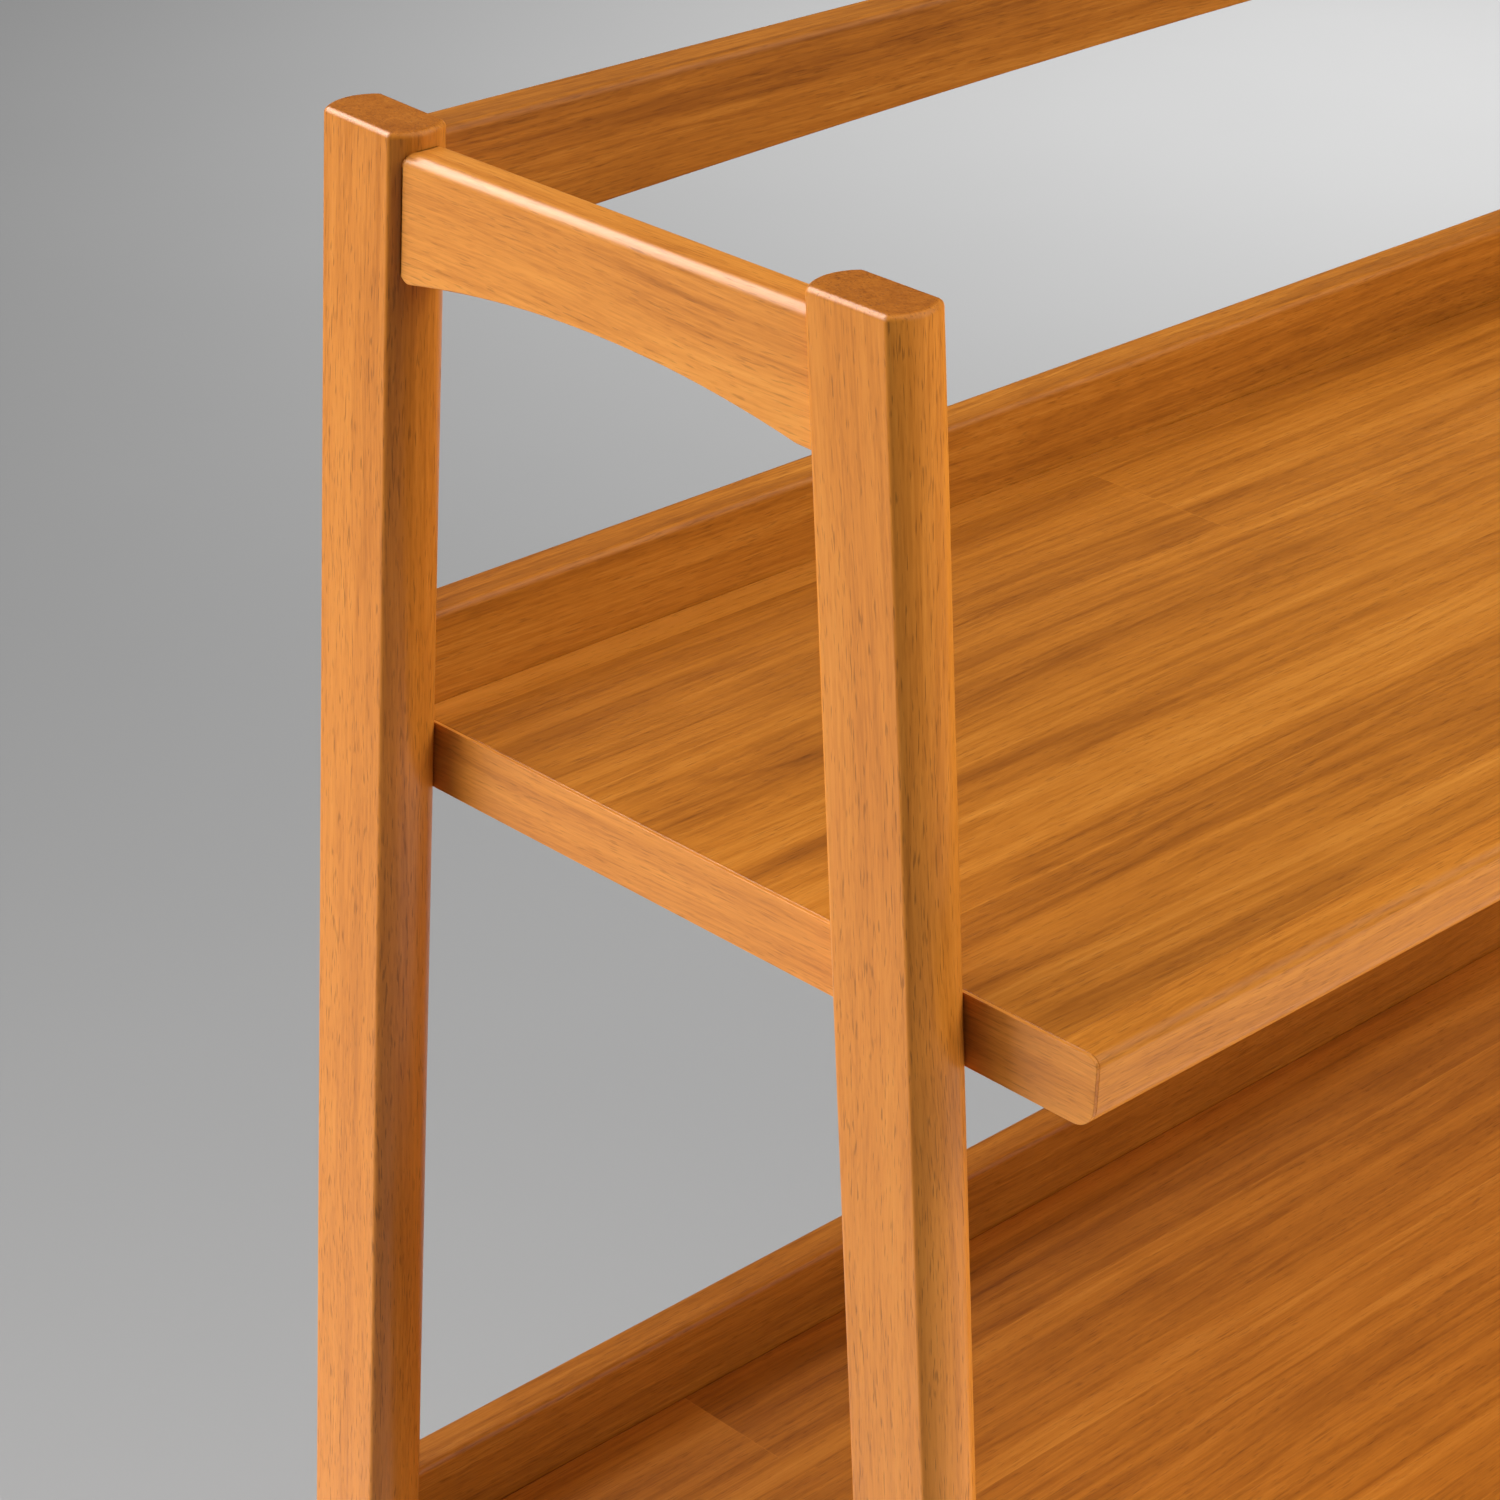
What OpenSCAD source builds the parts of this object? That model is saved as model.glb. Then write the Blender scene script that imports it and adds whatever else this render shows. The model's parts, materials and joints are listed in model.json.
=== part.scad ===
// Five-shelf ladder shelf. Two leaning side frames carry graduated shelves with raised back lips.
// Origin: on the floor, under the middle of the shelf. +X is to the right, -Y is the front, +Z is up.
// Every left-hand piece is drawn at -X, and its right-hand twin is its mirror image.

/* [Frame] */
// Overall width across the outer faces of the posts
overall_w = 965; // [760:5:1200]
// Overall height from the floor to the tops of the posts
overall_h = 1930; // [1890:5:2050]
// Distance between the front and rear post centre lines, level with the top shelf
frame_d = 254; // [230:1:280]
// Lean of the rear posts, tops forward, in degrees
rear_lean = 2; // [1:0.5:4]
// Lean of the front posts, tops back, in degrees
front_lean = 6; // [3:0.5:7]

/* [Posts] */
// Thickness of a post, seen from the front
post_t = 25; // [24:0.5:30]
// Width of a post's flat side faces
post_w = 33; // [31:0.5:38]
// Rise of the crown on a post's front and rear faces
post_crown = 4.5; // [2:0.5:6]

/* [Shelves] */
// Height of the post tops above the surface of the top shelf
top_rise = 225; // [205:5:250]
// Distance from one shelf surface down to the next
shelf_pitch = 381; // [340:1:390]
// Thickness of a shelf
shelf_t = 26; // [24:0.5:30]
// Distance from the front post centre line forward to the shelf's front edge
shelf_overhang = 72.5; // [60:0.5:90]
// Depth of the solid nosing along the shelf's front edge
nosing_d = 16; // [12:0.5:24]
// Radius of the nosing's upper front edge
nosing_top_r = 4; // [1:0.5:6]
// Radius of the nosing's lower front edge
nosing_low_r = 8; // [2:0.5:11]
// Thickness of the edge band on each end of a shelf
band_t = 1.5; // [1:0.5:3]

/* [Rails and lips] */
// Thickness of the rails and of the shelf lips
rail_t = 18; // [18:0.5:22]
// Height of a lip above its shelf
lip_rise = 35; // [30:1:45]
// Distance from the rear post centre line back to a lip's rear face
lip_back = 13.5; // [11:0.5:14]
// Height of a top rail at its ends
rail_h = 45; // [42:1:55]
// Distance from the post tops down to the top rails
rail_drop = 8; // [4:1:15]
// Rise of the arch under a side rail
side_arch = 9; // [4:0.5:12]
// Rise of the arch under the back rail
back_arch = 10; // [4:0.5:12]
// Radius along the long edges of rails and lips
edge_r = 3; // [1:0.5:4]

/* [Fittings] */
// Diameter of a cam disc
cam_d = 15; // [12:1:15]
// Distance from a post's inner face to a cam disc's centre
cam_reach = 34; // [24:1:34]
// Diameter of the wooden dowels
dowel_d = 8; // [6:1:8]
// Diameter of a foot pad
pad_d = 22; // [18:1:24]
// Length that a foot stem unscrews
foot_travel = 12; // [6:1:16]
// Diameter of the tether hole in the wall bracket
tether_d = 8; // [5:0.5:8]

/* [Hidden] */
$fn = 64;

WOOD = "#c98240";
END_WOOD = "#d89a5c";
BEECH = "#e3c08f";
ZINC = "#a9adb0";
STEEL = "#7f858a";
NYLON = "#3a2c22";

SHELVES = [1:5];
LAST_SHELF = 5;
FIT = 0.05;
THROUGH = 1;

// Posts. A centre line is followed by the Y where it passes a height z.
post_x = (overall_w - post_t) / 2;
inner_x = overall_w / 2 - post_t;
crown_r = (pow(post_t / 2, 2) + pow(post_crown, 2)) / (2 * post_crown);
post_reach = post_w / 2 + post_crown;
top_shelf_z = overall_h - top_rise;
foot_z = 8;
rear_run = top_shelf_z * tan(rear_lean);
front_run = top_shelf_z * tan(front_lean);
rear_most = rear_run + post_reach / cos(rear_lean) - foot_z * tan(rear_lean);
front_most = frame_d + (LAST_SHELF - 1) * shelf_pitch * tan(front_lean) + shelf_overhang;
mid_y = (rear_most - front_most) / 2;
function rear_y(z) = rear_run - mid_y - z * tan(rear_lean);
function front_y(z) = -frame_d - front_run - mid_y + z * tan(front_lean);
rear_length = (overall_h - post_reach * sin(rear_lean)) / cos(rear_lean);

// Shelves. Faces that are glued together lie on whole hundredths of a millimetre.
function hundredth(v) = round(v * 100) / 100;
function shelf_z(i) = top_shelf_z - (i - 1) * shelf_pitch;
function shelf_front(i) = hundredth(front_y(shelf_z(i)) - shelf_overhang);
function lip_rear(i) = hundredth(rear_y(shelf_z(i)) + lip_back);
function panel_front(i) = shelf_front(i) + nosing_d;
function panel_rear(i) = lip_rear(i) - rail_t;
panel_l = 2 * (inner_x - band_t);
tongue_t = 6;
tongue_d = 8;

// Rails
rail_top = overall_h - rail_drop;
back_rail_y = hundredth(rear_y(rail_top - rail_h / 2));
back_rail_rear = back_rail_y + rail_t / 2;

// Cam fittings: a bolt in the post's inner face is drawn tight by a disc in the end of the piece
cam_depth = 13.6;
bolt_up = 9.5;
bolt_bore_r = 4.05;
bolt_thread_l = 12;
bolt_thread_r = 3;
insert_r = 5;
insert_l = 12.5;
joint_step = 8.5;
function front_joint_z(i) = shelf_z(i) - shelf_t + bolt_up;
function front_bolt(i) = [-inner_x, front_y(front_joint_z(i)) - joint_step, front_joint_z(i)];
function front_dowel(i) = [-inner_x, front_y(front_joint_z(i)) + joint_step, front_joint_z(i)];
function rear_bolt(i) = [-inner_x, lip_rear(i) - bolt_up, shelf_z(i) - 12];
function rear_dowel(i) = [-inner_x, lip_rear(i) - rail_t / 2, shelf_z(i) + 18];
rail_bolt = [-inner_x, back_rail_rear - bolt_up, rail_top - 31];
rail_dowel = [-inner_x, back_rail_y, rail_top - 13];

// Dowels
dowel_r = dowel_d / 2;
post_dowel_l = 12;
shelf_dowel_l = 26;
side_dowel_z = [rail_top - 12, rail_top - 32];
side_dowel_post_l = 14;
side_dowel_rail_l = 22;
lip_dowel_x = [-0.4, -0.2, 0, 0.2, 0.4];
lip_dowel_drop = 13;
lip_dowel_lip_l = 12;
lip_dowel_panel_l = 24;

// Feet
pad_h = 7.7;
stem_r = 4;
stem_top = 30 + foot_travel;
stem_head_r = 5;
head_low = 2.6;
head_high = 5.6;
driver_hole_r = 3.5;
foot_insert_r = 6;
foot_insert_l = 20;

// Wall bracket
bracket_w = 46;
bracket_h = 16;
bracket_t = 2;
bracket_top = rail_top - 9;
tab_w = 18;
tab_d = 16;
tether_back = 9;
screw_x = 16;
screw_r = 2;
screw_head_r = 4;
screw_l = 14;

// ---------- shared shapes ----------

module both_sides() {
    children();
    mirror([1, 0, 0]) children();
}

module along_x(length) {
    rotate([90, 0, 90]) linear_extrude(length, center = true) children();
}

module along_y(length) {
    rotate([90, 0, 0]) linear_extrude(length, center = true) children();
}

// Waste outside a rounded corner that stands at the origin and opens towards +X +Y
module corner_waste(r) {
    difference() {
        translate([-THROUGH, -THROUGH]) square(r + THROUGH);
        translate([r, r]) circle(r);
    }
}

// Flat bar section from the origin to [w, h], with its four corner radii
module bar_section(w, h, low_left, low_right, top_left, top_right) {
    difference() {
        square([w, h]);
        if (low_left > 0) corner_waste(low_left);
        if (low_right > 0) translate([w, 0]) mirror([1, 0]) corner_waste(low_right);
        if (top_left > 0) translate([0, h]) mirror([0, 1]) corner_waste(top_left);
        if (top_right > 0) translate([w, h]) rotate(180) corner_waste(top_right);
    }
}

// Outline below a shallow arch: a circle's segment on the chord from -half to half
function arch_waste(half, rise) =
    let (r = (half * half + rise * rise) / (2 * rise), a = asin(half / r))
    concat(
        [[-half, -THROUGH]],
        [for (t = [-a : a / 24 : a]) [r * sin(t), r * cos(t) - r + rise]],
        [[half, -THROUGH]]
    );

// Post section: flat sides, crowned front and rear
module post_section(grow) {
    intersection() {
        square([post_t + 2 * grow, 2 * post_w], center = true);
        union() {
            square([2 * post_t, post_w], center = true);
            for (s = [-1, 1]) {
                translate([0, s * (post_reach - crown_r)]) circle(crown_r + grow);
            }
        }
    }
}

module rear_blank(length, grow = 0) {
    translate([-post_x, rear_y(0), 0]) rotate([rear_lean, 0, 0]) linear_extrude(length) post_section(grow);
}

module front_blank(length, grow = 0) {
    translate([-post_x, front_y(0), 0]) rotate([-front_lean, 0, 0]) linear_extrude(length) post_section(grow);
}

module rod_x(r, from, to) {
    translate([from, 0, 0]) rotate([0, 90, 0]) cylinder(r = r, h = to - from);
}

module rod_y(r, from, to) {
    translate([0, to, 0]) rotate([90, 0, 0]) cylinder(r = r, h = to - from);
}

// Turns a fitting made for a shelf's underside to face the rear of a rail or lip
module facing_rear() {
    rotate([90, 0, 0]) children();
}

// ---------- posts ----------

module cut_floor(y) {
    translate([-post_x, y, foot_z - 100]) cube([4 * post_t, 4 * post_w, 200], center = true);
}

module foot_hole(y) {
    translate([-post_x, y, foot_z - THROUGH]) cylinder(r = foot_insert_r + FIT, h = foot_insert_l + THROUGH);
    translate([-post_x, y, foot_z]) cylinder(r = stem_r + 0.5, h = stem_top);
}

module post_joint_holes(bolt, dowel) {
    translate(bolt) rod_x(insert_r + FIT, -insert_l - 0.3, THROUGH);
    translate(dowel) rod_x(dowel_r + FIT, -post_dowel_l - 0.4, THROUGH);
}

// Dowels that cross the face between a post and its side rail
module side_dowels_rear(grow) {
    for (z = side_dowel_z) {
        translate([-post_x, rear_y(z) - post_reach, z])
            rod_y(dowel_r + grow, -side_dowel_rail_l - 4 * grow, side_dowel_post_l + 4 * grow);
    }
}

module side_dowels_front(grow) {
    for (z = side_dowel_z) {
        translate([-post_x, front_y(z) + post_reach, z])
            rod_y(dowel_r + grow, -side_dowel_post_l - 4 * grow, side_dowel_rail_l + 4 * grow);
    }
}

module rear_post() {
    difference() {
        rear_blank(rear_length);
        cut_floor(rear_y(foot_z));
        foot_hole(rear_y(foot_z));
        side_dowels_rear(FIT);
        post_joint_holes(rail_bolt, rail_dowel);
        for (i = SHELVES) post_joint_holes(rear_bolt(i), rear_dowel(i));
    }
}

module front_post() {
    difference() {
        front_blank(overall_h + 100);
        cut_floor(front_y(foot_z));
        translate([-post_x, front_y(overall_h), overall_h + 100])
            cube([4 * post_t, 4 * post_w, 200], center = true);
        foot_hole(front_y(foot_z));
        side_dowels_front(FIT);
        for (i = SHELVES) post_joint_holes(front_bolt(i), front_dowel(i));
    }
}

module rear_post_left() {
    color(WOOD) rear_post();
}

module rear_post_right() {
    color(WOOD) mirror([1, 0, 0]) rear_post();
}

module front_post_left() {
    color(WOOD) front_post();
}

module front_post_right() {
    color(WOOD) mirror([1, 0, 0]) front_post();
}

// ---------- top rails ----------

// Its ends are coped to the crowned faces of the posts, and its underside is a shallow arch
module side_rail() {
    rear = rear_y(rail_top);
    front = front_y(rail_top);
    clear_l = rear - front - 2 * post_reach;
    arch_r = (pow(clear_l / 2, 2) + pow(side_arch, 2)) / (2 * side_arch);
    difference() {
        translate([-post_x - rail_t / 2, (rear + front) / 2, rail_top - rail_h])
            along_y(rear - front) bar_section(rail_t, rail_h, 0, 0, edge_r, edge_r);
        translate([-post_x, (rear + front) / 2, rail_top - rail_h + side_arch - arch_r])
            rod_x(arch_r, -rail_t, rail_t, $fn = 240);
        rear_blank(overall_h + 100, FIT);
        front_blank(overall_h + 100, FIT);
        side_dowels_rear(FIT);
        side_dowels_front(FIT);
    }
}

module side_rail_left() {
    color(WOOD) side_rail();
}

module side_rail_right() {
    color(WOOD) mirror([1, 0, 0]) side_rail();
}

module back_rail() {
    color(WOOD) difference() {
        translate([0, back_rail_y - rail_t / 2, rail_top - rail_h])
            along_x(2 * inner_x) bar_section(rail_t, rail_h, 0, 0, edge_r, edge_r);
        translate([0, back_rail_y, rail_top - rail_h])
            along_y(2 * rail_t) polygon(arch_waste(inner_x, back_arch));
        both_sides() translate(rail_bolt) cam_bores() facing_rear() cam_pocket();
        both_sides() translate(rail_dowel) rod_x(dowel_r + FIT, -THROUGH, shelf_dowel_l + 0.4);
        for (s = [-1, 1]) {
            translate([s * screw_x, back_rail_rear, bracket_top - bracket_h / 2])
                rod_y(screw_r + FIT, -screw_l, THROUGH);
        }
    }
}

// ---------- shelves ----------

module shelf_panel(i) {
    depth = panel_rear(i) - panel_front(i);
    color(WOOD) difference() {
        translate([0, panel_front(i), shelf_z(i) - shelf_t]) along_x(panel_l) square([depth, shelf_t]);
        translate([0, panel_front(i), shelf_z(i) - shelf_t / 2])
            cube([panel_l + 2, 2 * tongue_d + 0.4, tongue_t + 0.2], center = true);
        both_sides() translate(front_bolt(i)) cam_bores() cam_pocket();
        both_sides() translate(front_dowel(i)) rod_x(dowel_r + FIT, -THROUGH, shelf_dowel_l + 0.4);
        lip_dowel_row(i, FIT);
    }
}

module shelf_nosing(i) {
    color(WOOD) translate([0, shelf_front(i), shelf_z(i) - shelf_t]) along_x(panel_l) {
        bar_section(nosing_d, shelf_t, nosing_low_r, 0, nosing_top_r, 0);
        translate([nosing_d - THROUGH, (shelf_t - tongue_t) / 2]) square([tongue_d + THROUGH, tongue_t]);
    }
}

module shelf_lip(i) {
    color(WOOD) difference() {
        translate([0, panel_rear(i), shelf_z(i) - shelf_t])
            along_x(2 * inner_x) bar_section(rail_t, shelf_t + lip_rise, 0, edge_r, edge_r, edge_r);
        both_sides() translate(rear_bolt(i)) cam_bores() facing_rear() cam_pocket();
        both_sides() translate(rear_dowel(i)) rod_x(dowel_r + FIT, -THROUGH, shelf_dowel_l + 0.4);
        lip_dowel_row(i, FIT);
    }
}

// Bands that finish the ends of a shelf's panel and nosing, drilled where the front post is bolted on
module shelf_end_bands() {
    color(END_WOOD) both_sides() for (i = SHELVES) {
        difference() {
            translate([-inner_x + band_t / 2, shelf_front(i), shelf_z(i) - shelf_t]) along_x(band_t)
                bar_section(panel_rear(i) - shelf_front(i), shelf_t, nosing_low_r, 0, nosing_top_r, 0);
            translate(front_bolt(i)) rod_x(bolt_bore_r, -THROUGH, band_t + THROUGH);
            translate(front_dowel(i)) rod_x(dowel_r + FIT, -THROUGH, band_t + THROUGH);
        }
    }
}

// ---------- hidden joinery ----------

// Bore for a cam bolt's shank, with the pocket of its disc
module cam_bores() {
    rod_x(bolt_bore_r, -THROUGH, cam_reach);
    translate([cam_reach, 0, 0]) children();
}

module cam_pocket() {
    translate([0, 0, -bolt_up - THROUGH]) cylinder(r = cam_d / 2 + FIT, h = cam_depth + 0.2 + THROUGH);
}

module cam_bolt() {
    neck = cam_reach - cam_d / 2 + 0.5;
    rotate([0, 90, 0]) rotate_extrude() polygon([
        [0, -bolt_thread_l], [bolt_thread_r, -bolt_thread_l],
        [bolt_thread_r, 0], [3.9, 0], [3.9, 2], [3.2, 2],
        [3.2, neck], [1.8, neck], [1.8, cam_reach - 2.5],
        [3.2, cam_reach - 2.5], [3.2, cam_reach + 0.5], [0, cam_reach + 0.5]
    ]);
}

// The disc's channel takes the bolt's head, and its open face has a cross recess
module cam_disc() {
    difference() {
        translate([0, 0, -bolt_up]) cylinder(d = cam_d, h = cam_depth);
        rod_x(3.5, -cam_d, 1.5);
        for (a = [45, 135]) {
            translate([0, 0, -bolt_up]) rotate(a) cube([8, 1.4, 4], center = true);
        }
    }
}

module bolt_insert() {
    difference() {
        rod_x(insert_r, -insert_l, -0.2);
        rod_x(bolt_thread_r + FIT, -insert_l - THROUGH, THROUGH);
    }
}

module cam_bolts() {
    color(ZINC) both_sides() {
        translate(rail_bolt) cam_bolt();
        for (i = SHELVES) {
            translate(front_bolt(i)) cam_bolt();
            translate(rear_bolt(i)) cam_bolt();
        }
    }
}

module cam_discs() {
    reach = [cam_reach, 0, 0];
    color(ZINC) both_sides() {
        translate(rail_bolt + reach) facing_rear() cam_disc();
        for (i = SHELVES) {
            translate(front_bolt(i) + reach) cam_disc();
            translate(rear_bolt(i) + reach) facing_rear() cam_disc();
        }
    }
}

module bolt_inserts() {
    color(STEEL) both_sides() {
        translate(rail_bolt) bolt_insert();
        for (i = SHELVES) {
            translate(front_bolt(i)) bolt_insert();
            translate(rear_bolt(i)) bolt_insert();
        }
    }
}

module end_dowels() {
    color(BEECH) both_sides() {
        translate(rail_dowel) rod_x(dowel_r, -post_dowel_l, shelf_dowel_l);
        for (i = SHELVES) {
            translate(front_dowel(i)) rod_x(dowel_r, -post_dowel_l, shelf_dowel_l);
            translate(rear_dowel(i)) rod_x(dowel_r, -post_dowel_l, shelf_dowel_l);
        }
    }
}

module side_rail_dowels() {
    color(BEECH) both_sides() {
        side_dowels_rear(0);
        side_dowels_front(0);
    }
}

module lip_dowel_row(i, grow) {
    for (k = lip_dowel_x) {
        translate([k * panel_l, panel_rear(i), shelf_z(i) - lip_dowel_drop])
            rod_y(dowel_r + grow, -lip_dowel_panel_l - 4 * grow, lip_dowel_lip_l + 4 * grow);
    }
}

module lip_dowels() {
    color(BEECH) for (i = SHELVES) lip_dowel_row(i, 0);
}

// ---------- levelling feet ----------

module foot_inserts() {
    color(STEEL) both_sides() for (y = [rear_y(foot_z), front_y(foot_z)]) {
        translate([-post_x, y, foot_z]) difference() {
            cylinder(r = foot_insert_r, h = foot_insert_l);
            translate([0, 0, -THROUGH]) cylinder(r = stem_r + FIT, h = foot_insert_l + 2 * THROUGH);
        }
    }
}

// The pad holds the stem's head in a socket, open below for a screwdriver
module foot_pad(y) {
    color(NYLON) translate([-post_x, y, 0]) difference() {
        rotate_extrude() polygon([
            [0, 0], [pad_d / 2 - 1, 0], [pad_d / 2, 1],
            [pad_d / 2, pad_h - 1.7], [pad_d / 2 - 0.7, pad_h], [0, pad_h]
        ]);
        translate([0, 0, -THROUGH]) cylinder(r = driver_hole_r, h = pad_h);
        translate([0, 0, head_low - 0.1]) cylinder(r = stem_head_r + 0.1, h = head_high - head_low + 0.2);
        translate([0, 0, head_low]) cylinder(r = stem_r + 0.1, h = pad_h);
    }
}

module foot_stem(y) {
    color(ZINC) translate([-post_x, y, 0]) difference() {
        rotate_extrude() polygon([
            [0, head_low], [stem_head_r, head_low], [stem_head_r, head_high], [stem_r, head_high],
            [stem_r, stem_top - 1], [stem_r - 1, stem_top], [0, stem_top]
        ]);
        translate([0, 0, head_low]) cube([2 * stem_r, 1.2, 2.4], center = true);
    }
}

// ---------- wall bracket ----------

// Plate on the back rail with a tab folded to the rear, for an anti-tip strap
module wall_bracket() {
    color(ZINC) difference() {
        union() {
            translate([-bracket_w / 2, back_rail_rear, bracket_top - bracket_h])
                cube([bracket_w, bracket_t, bracket_h]);
            translate([-tab_w / 2, back_rail_rear, bracket_top - bracket_t]) cube([tab_w, tab_d, bracket_t]);
        }
        translate([0, back_rail_rear + tether_back, bracket_top - bracket_t - THROUGH])
            cylinder(d = tether_d, h = bracket_t + 2 * THROUGH);
        for (s = [-1, 1]) {
            translate([s * screw_x, back_rail_rear, bracket_top - bracket_h / 2])
                rod_y(screw_r + 0.25, -THROUGH, bracket_t + THROUGH);
        }
    }
}

module bracket_screw() {
    head_top = bracket_t + 2.2;
    difference() {
        rotate_extrude() polygon([
            [0, -screw_l + 0.5], [screw_r, -screw_l + 3.5], [screw_r, bracket_t],
            [screw_head_r, bracket_t], [screw_head_r - 0.6, head_top], [0, head_top]
        ]);
        for (a = [0, 90]) {
            translate([0, 0, head_top]) rotate(a) cube([4.4, 1, 2.4], center = true);
        }
    }
}

module wall_bracket_screws() {
    color(STEEL) for (s = [-1, 1]) {
        translate([s * screw_x, back_rail_rear, bracket_top - bracket_h / 2])
            rotate([-90, 0, 0]) bracket_screw();
    }
}

// ---------- nodes ----------

rear_post_left();
rear_post_right();
front_post_left();
front_post_right();
side_rail_left();
side_rail_right();
back_rail();
shelf_panel(1);  // shelf_panel_1
shelf_panel(2);  // shelf_panel_2
shelf_panel(3);  // shelf_panel_3
shelf_panel(4);  // shelf_panel_4
shelf_panel(5);  // shelf_panel_5
shelf_nosing(1);  // shelf_nosing_1
shelf_nosing(2);  // shelf_nosing_2
shelf_nosing(3);  // shelf_nosing_3
shelf_nosing(4);  // shelf_nosing_4
shelf_nosing(5);  // shelf_nosing_5
shelf_lip(1);  // shelf_lip_1
shelf_lip(2);  // shelf_lip_2
shelf_lip(3);  // shelf_lip_3
shelf_lip(4);  // shelf_lip_4
shelf_lip(5);  // shelf_lip_5
shelf_end_bands();
cam_bolts();
cam_discs();
bolt_inserts();
end_dowels();
side_rail_dowels();
lip_dowels();
foot_inserts();
foot_pad(front_y(foot_z));  // foot_pad_front_left
mirror([1, 0, 0]) foot_pad(front_y(foot_z));  // foot_pad_front_right
foot_pad(rear_y(foot_z));  // foot_pad_rear_left
mirror([1, 0, 0]) foot_pad(rear_y(foot_z));  // foot_pad_rear_right
foot_stem(front_y(foot_z));  // foot_stem_front_left
mirror([1, 0, 0]) foot_stem(front_y(foot_z));  // foot_stem_front_right
foot_stem(rear_y(foot_z));  // foot_stem_rear_left
mirror([1, 0, 0]) foot_stem(rear_y(foot_z));  // foot_stem_rear_right
wall_bracket();
wall_bracket_screws();
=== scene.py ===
"""Looks of a five-shelf ladder shelf in honey-toned wood: meshes, materials, floor, lights and camera."""

import json
import math
import random

import bmesh
import bpy
from mathutils import Matrix, Vector


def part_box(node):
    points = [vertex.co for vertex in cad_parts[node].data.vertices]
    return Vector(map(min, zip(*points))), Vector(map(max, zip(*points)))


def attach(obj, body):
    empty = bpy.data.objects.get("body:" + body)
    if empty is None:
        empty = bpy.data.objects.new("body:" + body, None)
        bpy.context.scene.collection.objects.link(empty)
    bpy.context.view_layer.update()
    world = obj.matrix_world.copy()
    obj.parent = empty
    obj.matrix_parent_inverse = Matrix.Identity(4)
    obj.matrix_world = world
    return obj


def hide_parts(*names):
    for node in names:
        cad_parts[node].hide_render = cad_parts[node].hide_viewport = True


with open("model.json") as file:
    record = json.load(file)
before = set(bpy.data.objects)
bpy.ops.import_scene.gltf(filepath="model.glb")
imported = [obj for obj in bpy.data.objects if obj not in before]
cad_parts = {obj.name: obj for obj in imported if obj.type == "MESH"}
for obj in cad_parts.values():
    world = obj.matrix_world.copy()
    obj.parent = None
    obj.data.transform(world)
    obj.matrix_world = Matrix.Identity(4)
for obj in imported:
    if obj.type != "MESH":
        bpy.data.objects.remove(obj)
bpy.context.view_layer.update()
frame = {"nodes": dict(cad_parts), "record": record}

MM = 0.001
FRAME_BODY = "frame"
SHELVES = range(1, 6)
SIDES = {"left": -1, "right": 1}
FEET = ("front_left", "front_right", "rear_left", "rear_right")
GRAIN = "grain"
END_GRAIN = "end_grain"

# Posts: flat sides, crowned front and rear
REAR_LEAN = math.radians(2)
FRONT_LEAN = math.radians(6)
POST_FLAT = 33 * MM
POST_CROWN = 4.5 * MM
POST_REACH = POST_FLAT / 2 + POST_CROWN
POST_CORNER = 2.6 * MM
POST_TOP_ROUND = 2.3 * MM

# Rails, lips and shelves
EASED = 0.4 * MM
SMALL_EDGE = 1 * MM
GLUED_EDGE = 0.1 * MM
LIP_JOINT = 1.4 * MM
EDGE_ROUND = 3 * MM
SIDE_ARCH = 9 * MM
BACK_ARCH = 10 * MM
RAIL_CORNER = 4.5 * MM
RAIL_TOP_ROUND = 4.5 * MM
RAIL_JOINT = 1.1 * MM
ARCH_EDGE = 1.2 * MM
BAND_EDGE = 0.2 * MM
TRAY_STRIP = (72 * MM, 2400 * MM)
SEAM_WIDTH = 0.9 * MM
NOSING_TOP_ROUND = 4 * MM
NOSING_LOW_ROUND = 8 * MM

# Holes, and cam fittings' pockets
HOLE_SIDES = 48
OVERSHOOT = 2 * MM
CAM_POCKET_R = 7.55 * MM
CAM_POCKET_DEPTH = 13.8 * MM
CAM_REACH = 34 * MM
CAM_UP = 9.5 * MM
CAM_STEP = 8.5 * MM
LIP_CAM_DROP = 12 * MM
RAIL_CAM_DROP = 31 * MM

# Levelling feet, with M8 threads
INSERT_R = 6.05 * MM
INSERT_DEPTH = 20 * MM
STEM_HOLE_R = 4.5 * MM
STEM_HOLE_DEPTH = 42 * MM
STEM_R = 4 * MM
STEM_HEAD_R = 5 * MM
STEM_HEAD_H = 3 * MM
THREAD_PITCH = 1.25 * MM
THREAD_DEPTH = 0.65 * MM
CREST_WIDTH = 1.35
TIP_TAPER = 0.7
THREAD_AROUND = 28
THREAD_RINGS = 8
HEAD_LOW_EDGE = 0.4 * MM
HEAD_TOP_EDGE = 0.3 * MM

# Wood: how strongly each feature shades its tone, and the lacquer over it
MIDDLE_TONE = 0.56
FIGURE_WEIGHT = 0.8
RING_WEIGHT = 0.1
FLECK_WEIGHT = 0.1
STREAK_WEIGHT = 0.75
STRAND_WEIGHT = 0.6
HAIR_WEIGHT = 0.6
RIPPLE_WEIGHT = 0.16
STRIP_WEIGHT = 0.06
SEAM_WEIGHT = 0.2
GRAIN_DRIFT = 22 * MM
LACQUER = {"IOR": 1.5, "Specular IOR Level": 0.3, "Coat Weight": 0.5, "Coat Roughness": 0.26}
END_GRAIN_SHADES = ((0.5, 0.43, 0.25, 1), (0.85, 0.77, 0.55, 1))
WOOD_RELIEF = 0.035 * MM

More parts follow.
